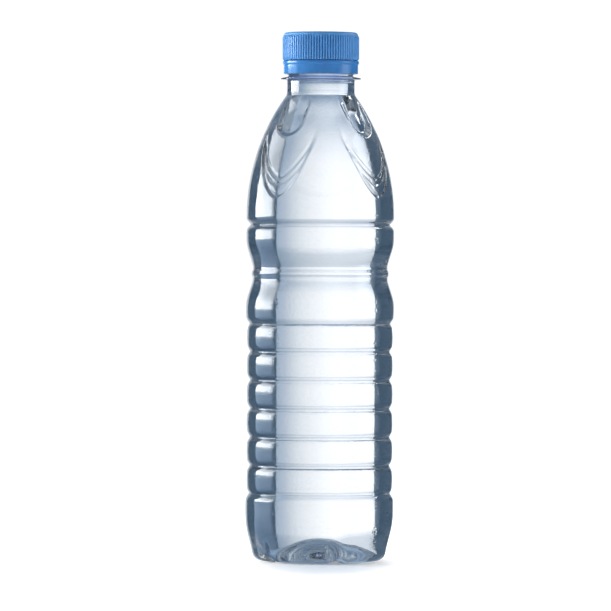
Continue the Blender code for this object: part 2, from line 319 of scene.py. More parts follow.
def base_stations(fine):
    """Foot outline from the centre to the top of the heel; fine is the share of rings kept."""
    stations = []
    half = DOME_POWER / 2.0
    start = DOME_ROUNDING ** half
    whole = (1.0 + DOME_ROUNDING) ** half - start
    for radius in np.linspace(0.6, PAD_INNER_RADIUS, int(DOME_RINGS * fine)):
        share = radius / PAD_INNER_RADIUS
        base = share ** 2 + DOME_ROUNDING
        height = DOME_HEIGHT * (1.0 - (base ** half - start) / whole)
        slope = -DOME_HEIGHT * DOME_POWER * share * base ** (half - 1.0) / whole / PAD_INNER_RADIUS
        stations.append((radius, height, math.degrees(math.atan(slope))))
    lift = HEEL_CENTRE[1] - HEEL_RADIUS
    run = HEEL_CENTRE[0] - PAD_OUTER_RADIUS
    for radius in np.linspace(PAD_INNER_RADIUS, HEEL_CENTRE[0], int(FOOT_RINGS * fine))[1:]:
        height = lift * float(smooth((radius - PAD_OUTER_RADIUS) / run))
        stations.append((radius, height, 0.0))
    for angle in np.linspace(0.0, HEEL_END_ANGLE, int(HEEL_RINGS * fine))[1:]:
        turn = math.radians(angle)
        radius = HEEL_CENTRE[0] + HEEL_RADIUS * math.sin(turn)
        stations.append((radius, HEEL_CENTRE[1] - HEEL_RADIUS * math.cos(turn), angle))
    return stations


def wall_heights(fine, top):
    """Ring heights up the body and shoulder, closer together in the grooves."""
    heights = list(np.linspace(4.6, 24.6, int(LOWER_WALL_RINGS * fine)))
    spread = np.linspace(-1.0, 1.0, int(GROOVE_RINGS * fine))
    for centre, _ in GROOVES:
        heights += list(centre + GROOVE_HALF_WIDTH * spread * (0.5 + 0.5 * np.abs(spread)))
    for low, high in zip(GROOVES[:-2], GROOVES[1:-1]):
        heights += list(np.linspace(low[0] + 3.9, high[0] - 3.9, 3))
    heights += list(np.linspace(101.3, 134.8, int(WAIST_RINGS * fine)))
    heights += list(np.linspace(141.8, top, int(SHOULDER_RINGS * fine)))
    return sorted(heights)


def wall_rings(sides, shoulder_sides, inset, fine, top):
    """Rings of the wall from the middle of the base up to the height top."""
    rings = [np.array([[0.0, 0.0, DOME_HEIGHT + inset]])]
    for station in base_stations(fine):
        rings.append(wall_ring(sides, station, inset))
    for z in wall_heights(fine, top):
        tilt = 90.0
        if z <= UPRIGHT_FROM:
            tilt = HEEL_END_ANGLE + (90.0 - HEEL_END_ANGLE) * z / UPRIGHT_FROM
        count = sides if z < SHOULDER_START else shoulder_sides
        rings.append(wall_ring(count, (wall_radius(z), z, tilt), inset))
    return rings


def arc_points(centre, radius, start, end, count):
    """Points (r, z) on an arc, with angles from straight outward."""
    turns = np.radians(np.linspace(start, end, count))
    return [(centre[0] + radius * math.cos(t), centre[1] + radius * math.sin(t)) for t in turns]


def helix_height(azimuth, z, start, turns, width):
    """Share of full thread height on a helix that rises one pitch for each turn.

    The thread fades in and out over an eighth of a turn at its ends.
    """
    total = np.zeros_like(azimuth)
    for k in range(int(turns) + 1):
        turn = k + azimuth / 360.0
        fade = smooth(turn * 8.0) * smooth((turns - turn) * 8.0)
        offset = np.abs(z - start - THREAD_PITCH * turn) / (width / 2.0)
        total = np.maximum(total, fade * smooth((1.6 - offset) / 0.9))
    return total


def neck_rings(sides):
    """Outside of the neck: support ring, locking bead, thread and mouth."""
    outline = [(NECK_RADIUS + 0.25, NECK_FOOT + 0.1), (NECK_RADIUS, NECK_FOOT + 0.5)]
    outline += [(NECK_RADIUS, z) for z in np.linspace(192.4, 196.9, 6)]
    outline += arc_points((NECK_RADIUS + 0.45, 196.95), -0.45, 0.0, -80.0, 5)[1:]
    outline += arc_points((RING_RADIUS - 0.3, 197.9), 0.3, -80.0, 80.0, 7)
    outline += [(COLLAR_RADIUS + 0.3, 198.7), (COLLAR_RADIUS, 199.1), (COLLAR_RADIUS, 201.4)]
    outline += [(13.45, 201.6), (13.9, 201.65), (14.0, 201.8), (14.0, 202.3), (13.9, 202.45)]
    outline += [(12.95, 203.1), (12.6, 203.3), (FINISH_RADIUS, 203.5)]
    rings = [turned(sides, radius, z) for radius, z in outline]
    azimuth = np.arange(sides) * 360.0 / sides
    for z in np.arange(204.0, 213.0, 0.33):
        ridge = helix_height(azimuth, z, THREAD_START, THREAD_TURNS, THREAD_WIDTH)
        rings.append(polar(azimuth, FINISH_RADIUS + THREAD_HEIGHT * ridge, z))
    lip = [(FINISH_RADIUS, 213.6)]
    lip += arc_points((FINISH_RADIUS - 0.5, MOUTH_HEIGHT - 0.5), 0.5, 0.0, 90.0, 5)
    lip += arc_points((BORE_RADIUS + 0.4, MOUTH_HEIGHT - 0.4), 0.4, 90.0, 180.0, 4)
    return rings + [turned(sides, radius, z) for radius, z in lip]


# ---------------------------------------------------------------- mesh making
def stitch(verts, faces, first, second):
    """Join two rings of different counts with triangles on the shorter diagonals."""
    i = j = 0
    n, m = len(first), len(second)
    while i < n or j < m:
        here, there = first[i % n], second[j % m]
        next_here, next_there = first[(i + 1) % n], second[(j + 1) % m]
        step_here = math.dist(verts[next_here], verts[there])
        step_there = math.dist(verts[here], verts[next_there])
        if j == m or (i < n and step_here <= step_there):
            if n > 1:
                faces.append((here, next_here, there))
            i += 1
        else:
            if m > 1:
                faces.append((here, next_there, there))
            j += 1


def solid(name, rings, body, zones=None):
    """Closed smooth solid through the rings; zones gives each band of faces its material index."""
    verts = np.concatenate(rings) * MM
    spans = np.cumsum([0] + [len(ring) for ring in rings])
    index = [list(range(a, b)) for a, b in zip(spans[:-1], spans[1:])]
    if len(index[-1]) > 1:
        index.append(index[0])
    faces = []
    kinds = []
    for k, (first, second) in enumerate(zip(index, index[1:])):
        before = len(faces)
        if len(first) == len(second):
            n = len(first)
            faces += [(first[i], first[(i + 1) % n], second[(i + 1) % n], second[i]) for i in range(n)]
        else:
            stitch(verts, faces, first, second)
        kinds += [zones[k] if zones else 0] * (len(faces) - before)
    mesh = bpy.data.meshes.new(name)
    mesh.from_pydata(verts.tolist(), [], faces)
    mesh.polygons.foreach_set("material_index", kinds)
    mesh.shade_smooth()
    mesh.set_sharp_from_angle(angle=math.radians(SHARP_ANGLE))
    thing = bpy.data.objects.new(name, mesh)
    bpy.context.scene.collection.objects.link(thing)
    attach(thing, body)
    return thing


# ---------------------------------------------------------------- materials
def new_material(name):
    """Material with its Principled shader, for more nodes to be linked into."""
    material = bpy.data.materials.new(name)
    material.use_nodes = True
    return material, material.node_tree.nodes["Principled BSDF"]


def add_node(material, kind, **values):
    """Shader node with plain attributes and, by input name, socket values."""
    node = material.node_tree.nodes.new(kind)
    for key, value in values.items():
        if key in node.inputs:
            node.inputs[key].default_value = value
        else:
            setattr(node, key, value)
    return node


def link(material, source, target):
    """Link between two sockets of a material's nodes."""
    material.node_tree.links.new(source, target)


def noise(material, scale, detail=2.0, stretch=(1.0, 1.0, 1.0)):
    """Noise in object space, in cycles for each metre."""
    coordinates = add_node(material, "ShaderNodeTexCoord")
    mapping = add_node(material, "ShaderNodeMapping", Scale=stretch)
    texture = add_node(material, "ShaderNodeTexNoise", Scale=scale, Detail=detail)
    link(material, coordinates.outputs["Object"], mapping.inputs["Vector"])
    link(material, mapping.outputs["Vector"], texture.inputs["Vector"])
    return texture.outputs["Fac"]


def colour_ramp(tree, value, stops):
    """Colour ramp through (position, grey or colour) stops, in a material's or a light's nodes."""
    node = tree.nodes.new("ShaderNodeValToRGB")
    while len(node.color_ramp.elements) < len(stops):
        node.color_ramp.elements.new(0.5)
    for element, (position, colour) in zip(node.color_ramp.elements, stops):
        if isinstance(colour, float):
            colour = (colour, colour, colour)
        element.position = position
        element.color = (*colour, 1.0)
    tree.links.new(value, node.inputs["Fac"])
    return node.outputs["Color"]


def ramp(material, value, stops):
    """Colour ramp in a material's nodes."""
    return colour_ramp(material.node_tree, value, stops)


def roughen(material, shader, height, distance, strength=1.0):
    """Bump of a height field, with its distance in metres."""
    node = add_node(material, "ShaderNodeBump", Distance=distance, Strength=strength)
    link(material, height, node.inputs["Height"])
    link(material, node.outputs["Normal"], shader.inputs["Normal"])


def clear_material(name, index, colour, beads=0.0, pale=(1.0, 1.0, 1.0)):
    """Clear dielectric with faint flow marks, from colour to pale, and fine specks.

    The height of the fine beads on its surface is in metres.
    """
    material, shader = new_material(name)
    shader.inputs["Transmission Weight"].default_value = 1.0
    shader.inputs["IOR"].default_value = index
    shader.inputs["Roughness"].default_value = 0.0
    flow = ramp(material, noise(material, 45.0), [(0.3, colour), (0.7, pale)])
    specks = ramp(material, noise(material, 1500.0, 1.0), [(0.40, 0.97), (0.60, 1.0)])
    both = add_node(material, "ShaderNodeMix", data_type="RGBA", blend_type="MULTIPLY")
    both.inputs["Factor"].default_value = 1.0
    link(material, flow, both.inputs["A"])
    link(material, specks, both.inputs["B"])
    link(material, both.outputs["Result"], shader.inputs["Base Color"])
    if beads > 0.0:
        dots = ramp(material, noise(material, 1700.0, 1.0), [(0.58, 0.0), (0.70, 1.0)])
        roughen(material, shader, dots, beads)
    return material


def through_material(name):
    """Boundary between the filling and the wall that touches it, where light goes straight on."""
    material, shader = new_material(name)
    nodes = material.node_tree.nodes
    clear = add_node(material, "ShaderNodeBsdfTransparent")
    nodes.remove(shader)
    link(material, clear.outputs["BSDF"], nodes["Material Output"].inputs["Surface"])
    return material


PET_IOR = 1.575
WATER_IOR = 1.333
CAP_COLOUR = (0.105, 0.315, 0.62)

pet_air = clear_material("pet_against_air", PET_IOR, (0.985, 0.99, 0.995), 0.000006)
pet_water = clear_material("pet_against_water", PET_IOR / WATER_IOR, (0.99, 0.996, 1.0))
# Ring and collar are tinted blue: painted reflection of the blue cap and band, and on the collar also painted
# shade under the band.
pet_ring_painted_reflection = clear_material("pet_ring_painted_cap_reflection", PET_IOR, (0.07, 0.17, 0.70), pale=(0.50, 0.67, 0.90))
pet_collar_painted_shade = clear_material("pet_collar_painted_shade_and_reflection", PET_IOR, (0.22, 0.38, 0.68))
# The neck under the ring is tinted pale grey-blue.
pet_neck = clear_material("pet_thick_neck", PET_IOR, (0.80, 0.865, 0.92))
water_air = clear_material("water_against_air", WATER_IOR, (0.99, 0.996, 1.0))
water_wall = through_material("water_against_wall")


def blue_material(name, colour, rough):
    """Moulded polyethylene: satin, with a faint grain and uneven colour."""
    material, shader = new_material(name)
    low = tuple(0.92 * c for c in colour)
    high = tuple(min(1.06 * c, 1.0) for c in colour)
    shade = ramp(material, noise(material, 260.0, 3.0), [(0.3, low), (0.7, high)])
    link(material, shade, shader.inputs["Base Color"])
    gloss = ramp(material, noise(material, 900.0, 2.0), [(0.3, rough * 0.85), (0.7, rough * 1.15)])
    link(material, gloss, shader.inputs["Roughness"])
    shader.inputs["IOR"].default_value = 1.5
    shader.inputs["Subsurface Weight"].default_value = 0.03
    shader.inputs["Subsurface Radius"].default_value = (0.2, 0.5, 1.0)
    shader.inputs["Subsurface Scale"].default_value = 0.001
    roughen(material, shader, noise(material, 1600.0, 2.0), 0.00001)
    return material


cap_blue = blue_material("cap_polyethylene", CAP_COLOUR, 0.42)
cap_matt = blue_material("cap_top_matt", CAP_COLOUR, 0.75)
cap_matt.node_tree.nodes["Principled BSDF"].inputs["Specular IOR Level"].default_value = 0.12
band_blue = blue_material("band_polyethylene", (0.043, 0.185, 0.44), 0.13)


# ---------------------------------------------------------------- pieces
def make_bottle():
    """Blown bottle with its outer skin, neck finish, thread and inner skin."""
    outer = wall_rings(BODY_SIDES, SHOULDER_SIDES, 0.0, 1.0, NECK_FOOT - 0.3)
    neck = neck_rings(NECK_SIDES)
    bore = [turned(INNER_SIDES, BORE_RADIUS, z) for z in (213.8, WATER_LEVEL + 0.05, WATER_LEVEL)]
    throat = [turned(INNER_SIDES, radius, z) for radius, z in reversed(THROAT)]
    wall = list(reversed(wall_rings(INNER_SIDES, INNER_SIDES, WALL, INNER_FINENESS, THROAT_FOOT)))
    rings = outer + neck + bore + throat + wall
    wetted = len(outer) + len(neck) + len(bore) - 1
    materials = (pet_air, pet_water, pet_ring_painted_reflection, pet_collar_painted_shade, pet_neck)
    zones = [materials.index(pet_air)] * len(rings)
    # Ring and collar faces get the blue tints of painted reflection of the cap and band, the collar's also
    # painted shade under the band.
    for k in range(len(outer), len(rings)):
        height = rings[k][:, 2].mean()
        if k >= wetted:
            zones[k] = materials.index(pet_water)
        elif height <= RING_FOOT:
            zones[k] = materials.index(pet_neck)
        elif height < RING_HEAD:
            zones[k] = materials.index(pet_ring_painted_reflection)
        elif height < COLLAR_HEAD:
            zones[k] = materials.index(pet_collar_painted_shade)
    bottle = solid("bottle_clear", rings, "bottle_body", zones)
    for material in materials:
        bottle.data.materials.append(material)
    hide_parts("bottle")


WATER_GAP = 0.02
MENISCUS_DEPTH = 0.5


def make_water():
    """Filling: it shares the bottle's inner shape, with a curved edge at the top."""
    rings = wall_rings(INNER_SIDES, INNER_SIDES, WALL + WATER_GAP, INNER_FINENESS, THROAT_FOOT)
    column = BORE_RADIUS - WATER_GAP
    rings += [turned(INNER_SIDES, radius - WATER_GAP, z) for radius, z in THROAT]
    rings.append(turned(INNER_SIDES, column, WATER_LEVEL))
    side = len(rings) - 1
    dips = ((0.15, 0.35), (0.6, 0.75), (1.4, 0.95), (3.0, 1.0))
    for inward, drop in dips:
        rings.append(turned(INNER_SIDES, column - inward, WATER_LEVEL - MENISCUS_DEPTH * drop))
    rings.append(turned(1, 0.0, WATER_LEVEL - MENISCUS_DEPTH))
    zones = [0] * side + [1] * (len(rings) - side - 1)
    water = solid("water_filling", rings, "bottle_body", zones)
    water.data.materials.append(water_wall)
    water.data.materials.append(water_air)
    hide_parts("water")


CAP_BOTTOM = 205.4
CAP_TOP = 216.9
CAP_CREST = 15.7
CAP_ROOT = 14.8
CAP_RIBS = 87
SIDES_PER_RIB = 10
CAP_BORE = 14.05
CAP_CEILING = 215.6
CAP_SIDES = 96
CAP_TOP_BANDS = 7


def ribbed(radius_crest, radius_root, z):
    """Ring of round-topped ribs with narrow grooves between them."""
    sides = CAP_RIBS * SIDES_PER_RIB
    azimuth = np.arange(sides) * 360.0 / sides
    phase = (np.arange(sides) % SIDES_PER_RIB) / SIDES_PER_RIB
    groove = smooth(1.0 - np.abs(phase - 0.5) / 0.33)
    return polar(azimuth, radius_crest - (radius_crest - radius_root) * groove, z)


def make_cap():
    """Ribbed cap with a rounded edge, a slightly crowned matt top and a threaded bore."""
    azimuth = np.arange(CAP_SIDES) * 360.0 / CAP_SIDES
    rings = [turned(1, 0.0, CAP_CEILING)]
    rings += [turned(CAP_SIDES, radius, CAP_CEILING) for radius in (6.0, 12.0, CAP_BORE - 0.3)]
    rings.append(turned(CAP_SIDES, CAP_BORE, CAP_CEILING - 0.3))
    for z in np.arange(214.2, 206.2, -0.3):
        ridge = helix_height(azimuth, z, THREAD_START + THREAD_PITCH / 2.0, THREAD_TURNS, THREAD_WIDTH)
        rings.append(polar(azimuth, CAP_BORE - 0.6 * ridge, z))
    rings.append(turned(CAP_SIDES, CAP_BORE, CAP_BOTTOM + 0.3))
    rings.append(turned(CAP_SIDES, CAP_BORE + 0.3, CAP_BOTTOM))
    rings.append(ribbed(15.1, 14.8, CAP_BOTTOM))
    rings.append(ribbed(15.35, 14.9, CAP_BOTTOM + 0.12))
    rings.append(ribbed(15.55, CAP_ROOT, CAP_BOTTOM + 0.4))
    rings += [ribbed(CAP_CREST, CAP_ROOT, z) for z in (206.1, 208.0, 210.0, 212.0, 213.6, 214.6)]
    rings.append(ribbed(15.62, 14.85, 215.0))
    rings.append(ribbed(15.42, 15.0, 215.4))
    rings.append(ribbed(15.24, 15.18, 215.75))
    for radius, z in arc_points((14.05, 215.72), 1.13, 12.0, 88.0, 8):
        rings.append(ribbed(radius, radius, z))
    for radius, drop in ((12.5, 0.03), (8.0, 0.01), (3.0, 0.0)):
        rings.append(turned(CAP_SIDES, radius, CAP_TOP - drop))
    rings.append(turned(1, 0.0, CAP_TOP))
    zones = [0] * (len(rings) - CAP_TOP_BANDS) + [1] * CAP_TOP_BANDS
    cap = solid("screw_cap_ribbed", rings, "cap_body", zones)
    cap.data.materials.append(cap_blue)
    cap.data.materials.append(cap_matt)
    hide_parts("screw_cap")


BRIDGES = 10
BAND_SIDES = 240


def make_band():
    """Tamper band: lipped top edge, bridges and a hook under the locking bead."""
    azimuth = np.arange(BAND_SIDES) * 360.0 / BAND_SIDES
    bridge = np.abs(nearest_angle(azimuth, 0.0, 360.0 / BRIDGES)) < 2.3
    rings = []
    outline = [(14.45, 203.6), (14.45, 201.35), (13.8, 201.1), (13.75, 200.9), (13.75, 200.3)]
    outline += [(13.95, 199.95), (14.3, 199.8), (15.0, 199.8), (15.22, 199.88), (15.3, 200.1)]
    outline += [(15.3, 203.4), (15.34, 203.6), (15.5, 203.85), (15.66, 204.05), (15.7, 204.2)]
    outline += [(15.7, 204.75), (15.64, 205.0), (15.5, 205.15)]
    for radius, z in outline:
        rings.append(turned(BAND_SIDES, radius, z))
    for radius in (15.3, 15.05, 14.6):
        rings.append(polar(azimuth, radius, 205.22 + 0.14 * bridge * (radius < 15.2)))
    rings.append(turned(BAND_SIDES, 14.45, 204.9))
    band = solid("tamper_band_lipped", rings, "bottle_body")
    band.data.materials.append(band_blue)
    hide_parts("tamper_band")


def dress_liner():
    """White foam on the CAD liner, whose shape is right as it is."""
    foam, shader = new_material("liner_foam")
    shade = ramp(foam, noise(foam, 700.0), [(0.3, 0.72), (0.7, 0.82)])
    link(foam, shade, shader.inputs["Base Color"])
    shader.inputs["Roughness"].default_value = 0.6
    roughen(foam, shader, noise(foam, 1500.0), 0.00003)
    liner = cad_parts["seal_liner"]
    liner.data.materials.clear()
    liner.data.materials.append(foam)


make_bottle()
make_water()
make_cap()
make_band()
dress_liner()


# ---------------------------------------------------------------- stage, lights and camera
def add_stage(name, corners, material, faces):
    """Part of the stage, in metres, which isn't part of the object."""
    mesh = bpy.data.meshes.new(name)
    mesh.from_pydata(corners, [], faces)
    mesh.materials.append(material)
    thing = bpy.data.objects.new(name, mesh)
    bpy.context.scene.collection.objects.link(thing)
    return thing


FLOOR_HALF = 12.5
# Painted shadow on the floor: an oval where the floor's glow dims, round and just in front of the bottle's
# foot.
PAINTED_SHADOW_CENTRE = (0.002, -0.02, 0.0)
PAINTED_SHADOW_SCALE = (30.0, 8.2, 0.0)
PAINTED_SHADOW_STOPS = ((0.0, (0.20, 0.195, 0.205)), (0.3, (0.23, 0.22, 0.215)), (0.6, (0.39, 0.355, 0.31)))
PAINTED_SHADOW_STOPS += ((0.8, (0.60, 0.55, 0.50)), (1.0, 0.88))


def make_floor():
    """Pale floor that glows, with a painted shadow where its glow dims in an oval round the bottle's foot."""
    white, shader = new_material("floor_painted_shadow")
    tone = ramp(white, noise(white, 3.0), [(0.3, (0.86, 0.88, 0.90)), (0.7, (0.88, 0.90, 0.92))])
    link(white, tone, shader.inputs["Base Color"])
    shader.inputs["Roughness"].default_value = 0.5
    place = add_node(white, "ShaderNodeNewGeometry")
    shift = add_node(white, "ShaderNodeVectorMath", operation="SUBTRACT")
    shift.inputs[1].default_value = PAINTED_SHADOW_CENTRE
    scale = add_node(white, "ShaderNodeVectorMath", operation="MULTIPLY")
    scale.inputs[1].default_value = PAINTED_SHADOW_SCALE
    reach = add_node(white, "ShaderNodeVectorMath", operation="LENGTH")
    link(white, place.outputs["Position"], shift.inputs[0])
    link(white, shift.outputs["Vector"], scale.inputs[0])
    link(white, scale.outputs["Vector"], reach.inputs[0])
    # The emission colour carries the painted shadow.
    link(white, ramp(white, reach.outputs["Value"], PAINTED_SHADOW_STOPS), shader.inputs["Emission Color"])
    shader.inputs["Emission Strength"].default_value = 1.0
    low, high = -FLOOR_HALF, FLOOR_HALF
    corners = [(low, low, 0.0), (high, low, 0.0), (high, high, 0.0), (low, high, 0.0)]
    floor = add_stage("floor", corners, white, [(0, 1, 2, 3)])
    floor.visible_transmission = False
    floor.visible_glossy = False


make_floor()


BACKDROP_RADIUS = 12.0
BACKDROP_SIDES = 48


def make_backdrop():
    """Round pale wall that only the camera sees, so every view has the same plain ground."""
    white, shader = new_material("backdrop_white")
    tone = ramp(white, noise(white, 0.4), [(0.3, 0.98), (0.7, 1.0)])
    link(white, tone, shader.inputs["Emission Color"])
    shader.inputs["Emission Strength"].default_value = 1.03
    shader.inputs["Base Color"].default_value = (0.0, 0.0, 0.0, 1.0)
    count = BACKDROP_SIDES
    turns = [2.0 * math.pi * i / count for i in range(count)]
    low = [(BACKDROP_RADIUS * math.cos(t), BACKDROP_RADIUS * math.sin(t), -0.01) for t in turns]
    high = [(BACKDROP_RADIUS * math.cos(t), BACKDROP_RADIUS * math.sin(t), 14.0) for t in turns]
    faces = [(i, (i + 1) % count, (i + 1) % count + count, i + count) for i in range(count)]
    faces.append(tuple(range(count, 2 * count)))
    wall = add_stage("backdrop", low + high, white, faces)
    wall.visible_diffuse = False
    wall.visible_glossy = False
    wall.visible_transmission = False
    wall.visible_shadow = False


make_backdrop()


SURROUND_GAP = (0.235, 0.305, 0.385)
SURROUND_RADIUS = 11.0
SURROUND_HALF_HEIGHT = 9.0
SURROUND_START = 76.0
SURROUND_END = 284.0
SURROUND_SPANS = 52
SURROUND_LEVELS = ((0.0, (0.70, 0.76, 0.82)), (0.3, 1.0), (0.65, 1.0), (0.9, (0.45, 0.53, 0.62)))
SCREENS = ((76.0, 136.0), (284.0, 224.0), (153.0, 207.0))
SCREEN_TONE = 0.85


def make_surround():
    """Pale curved screens beside and behind the camera, seen only through the clear pieces.

    Each screen spans compass angles right of +Y and fades into the gap's tone at both edges.
    """
    pale, shader = new_material("surround_pale")
    turn = add_node(pale, "ShaderNodeTexGradient", gradient_type="RADIAL")
    place = add_node(pale, "ShaderNodeNewGeometry")
    height = add_node(pale, "ShaderNodeSeparateXYZ")
    share = add_node(pale, "ShaderNodeMapRange")
    share.inputs["From Min"].default_value = -SURROUND_HALF_HEIGHT
    share.inputs["From Max"].default_value = SURROUND_HALF_HEIGHT
    link(pale, place.outputs["Position"], turn.inputs["Vector"])
    link(pale, place.outputs["Position"], height.inputs["Vector"])
    link(pale, height.outputs["Z"], share.inputs["Value"])
    stops = []
    for start, end in SCREENS:
        inward = math.copysign(1.0, end - start)
        for azimuth, tone in ((start, SURROUND_GAP), (start + 7.0 * inward, SCREEN_TONE),
                              (end - 14.0 * inward, SCREEN_TONE), (end, SURROUND_GAP)):
            # The gradient runs anticlockwise from -X, and compass angles clockwise from +Y.
            stops.append(((270.0 - azimuth) % 360.0 / 360.0, tone))
    stops.append((1.0, SCREEN_TONE))
    stops.sort(key=lambda stop: stop[0])
    around = ramp(pale, turn.outputs["Fac"], stops)
    upward = ramp(pale, share.outputs["Result"], SURROUND_LEVELS)
    both = add_node(pale, "ShaderNodeMix", data_type="RGBA", blend_type="MULTIPLY")
    both.inputs["Factor"].default_value = 1.0
    link(pale, around, both.inputs["A"])
    link(pale, upward, both.inputs["B"])
    link(pale, both.outputs["Result"], shader.inputs["Emission Color"])
    shader.inputs["Emission Strength"].default_value = 1.0
    shader.inputs["Base Color"].default_value = (0.0, 0.0, 0.0, 1.0)
    pale.cycles.emission_sampling = "NONE"
    turns = np.radians(np.linspace(SURROUND_START, SURROUND_END, SURROUND_SPANS + 1))
    foot = [(SURROUND_RADIUS * math.sin(t), SURROUND_RADIUS * math.cos(t)) for t in turns]
    low = [(x, y, -SURROUND_HALF_HEIGHT) for x, y in foot]
    high = [(x, y, SURROUND_HALF_HEIGHT) for x, y in foot]
    row = len(foot)
    faces = [(i, i + 1, i + 1 + row, i + row) for i in range(SURROUND_SPANS)]
    wall = add_stage("surround", low + high, pale, faces)
    wall.visible_camera = False
    wall.visible_diffuse = False
    wall.visible_glossy = False
    wall.visible_shadow = False


make_surround()


def area_light(name, centre, aim, width, height, radiance, colour=(1.0, 1.0, 1.0)):
    """Flat light of even radiance that faces the aim point."""
    lamp = bpy.data.lights.new(name, "AREA")
    lamp.shape = "RECTANGLE"
    lamp.size = width
    lamp.size_y = height
    lamp.energy = radiance * math.pi * width * height
    lamp.color = colour
    thing = bpy.data.objects.new(name, lamp)
    thing.location = centre
    direction = Vector(aim) - Vector(centre)
    thing.rotation_euler = direction.to_track_quat("-Z", "Y").to_euler()
    bpy.context.scene.collection.objects.link(thing)
    return thing


def azimuth_light(name, start, end, distance, low, high, radiance, colour=(1.0, 1.0, 1.0)):
    """Upright light from low to high that spans compass angles right of +Y, seen from the bottle."""
    middle = math.radians((start + end) / 2.0)
    half = math.radians((end - start) / 2.0)
    width = 2.0 * distance * math.tan(half)
    centre = (distance * math.sin(middle), distance * math.cos(middle), (low + high) / 2.0)
    aim = (0.0, 0.0, (low + high) / 2.0)
    return area_light(name, centre, aim, width, high - low, radiance, colour)


def shade_light(lamp, across, upward):
    """Makes a light's radiance vary along its width and its height."""
    lamp.data.use_nodes = True
    tree = lamp.data.node_tree
    place = tree.nodes.new("ShaderNodeNewGeometry")
    split = tree.nodes.new("ShaderNodeSeparateXYZ")
    both = tree.nodes.new("ShaderNodeMix")
    both.data_type = "RGBA"
    both.blend_type = "MULTIPLY"
    both.inputs["Factor"].default_value = 1.0
    tree.links.new(place.outputs["Parametric"], split.inputs["Vector"])
    tree.links.new(colour_ramp(tree, split.outputs["X"], across), both.inputs["A"])
    tree.links.new(colour_ramp(tree, split.outputs["Y"], upward), both.inputs["B"])
    tree.links.new(both.outputs["Result"], tree.nodes["Emission"].inputs["Color"])


BOTTLE_MIDDLE = 0.1


def upright_stops(distance, low, high, levels):
    """Turns (elevation in degrees, tone) pairs into stops along an upright light's height."""
    stops = []
    for elevation, tone in levels:
        height = distance * math.tan(math.radians(elevation)) + BOTTLE_MIDDLE
        stops.append(((height - low) / (high - low), tone))
    return stops


# Levels are (elevation in degrees, tone), and stops across are (share of the light's width, tone).
PANEL_LEVELS = ((-40.0, (0.09, 0.13, 0.19)), (-28.0, (0.12, 0.17, 0.24)), (-22.0, (0.24, 0.29, 0.36)))
PANEL_LEVELS += ((-20.0, (0.34, 0.39, 0.46)), (-16.0, (0.62, 0.66, 0.71)), (-12.0, (0.84, 0.86, 0.89)))
PANEL_LEVELS += ((-8.0, 0.97), (-5.0, 1.0), (5.0, 1.0), (8.5, (0.64, 0.67, 0.70)), (12.5, (0.60, 0.63, 0.65)))
PANEL_LEVELS += ((16.0, (0.50, 0.53, 0.55)), (20.0, (0.36, 0.40, 0.45)), (25.0, (0.28, 0.33, 0.40)))
PANEL_LEVELS += ((40.0, (0.14, 0.22, 0.33)),)
PANEL_DISTANCE = 10.0
PANEL_LOW = -9.0
PANEL_HIGH = 9.0
panel = azimuth_light("back_panel", -27.8, 19.3, PANEL_DISTANCE, PANEL_LOW, PANEL_HIGH, 1.09)
PANEL_ACROSS = ((0.0, (0.30, 0.37, 0.44)), (0.1, (0.405, 0.44, 0.50)), (0.19, (0.56, 0.59, 0.61)))
PANEL_ACROSS += ((0.26, (0.69, 0.71, 0.72)), (0.32, 0.78), (0.38, 0.845), (0.45, 0.925))
PANEL_ACROSS += ((0.55, 1.0), (0.88, 1.0), (1.0, 0.88))
shade_light(panel, PANEL_ACROSS, upright_stops(PANEL_DISTANCE, PANEL_LOW, PANEL_HIGH, PANEL_LEVELS))

LOW_PANEL_ACROSS = ((0.0, 0.0), (0.2, 1.0), (0.7, 1.0), (1.0, 0.0))
LOW_PANEL_UPWARD = ((0.0, 0.0), (0.2, 1.0), (0.75, 1.0), (1.0, 0.0))
low_panel = azimuth_light("low_panel", 12.0, 34.0, PANEL_DISTANCE, -5.4, -2.0, 0.27, (0.85, 0.93, 1.0))
shade_light(low_panel, LOW_PANEL_ACROSS, LOW_PANEL_UPWARD)

SOFTBOX_DISTANCE = 1.2
SOFTBOX_LOW = -0.6
SOFTBOX_HIGH = 0.95
softbox = azimuth_light("left_softbox", -104.0, -60.0, SOFTBOX_DISTANCE, SOFTBOX_LOW, SOFTBOX_HIGH,
                        13.5, (0.93, 0.97, 1.0))
SOFTBOX_LEVELS = ((-25.0, (0.05, 0.07, 0.10)), (-14.0, (0.10, 0.13, 0.18)), (-5.0, (0.14, 0.18, 0.23)))
SOFTBOX_LEVELS += ((-3.0, (0.155, 0.195, 0.24)), (-2.0, (0.19, 0.23, 0.28)), (-1.2, (0.26, 0.30, 0.35)))
SOFTBOX_LEVELS += ((-0.6, 0.42), (0.0, 0.85), (0.5, 1.0), (8.0, 1.0), (16.0, 0.72), (24.0, 0.5))
SOFTBOX_LEVELS += ((31.0, 0.4), (35.0, 0.02))
SOFTBOX_ACROSS = ((0.0, 1.0), (0.82, 1.0), (1.0, 0.0))
SOFTBOX_UPWARD = upright_stops(SOFTBOX_DISTANCE, SOFTBOX_LOW, SOFTBOX_HIGH, SOFTBOX_LEVELS)
shade_light(softbox, SOFTBOX_ACROSS, SOFTBOX_UPWARD)
softbox.visible_transmission = False

strip = azimuth_light("right_softbox", 70.0, 118.0, 1.5, -0.4, 1.0, 2.4, (0.75, 0.88, 1.0))
shade_light(strip, ((0.0, 0.1), (0.3, 1.0), (0.5, 1.0), (1.0, 0.1)), ((0.0, 1.0), (1.0, 1.0)))
strip.visible_transmission = False

glint = azimuth_light("right_top_softbox", 52.0, 60.0, 1.2, 0.80, 1.15, 12.0)
glint.visible_transmission = False


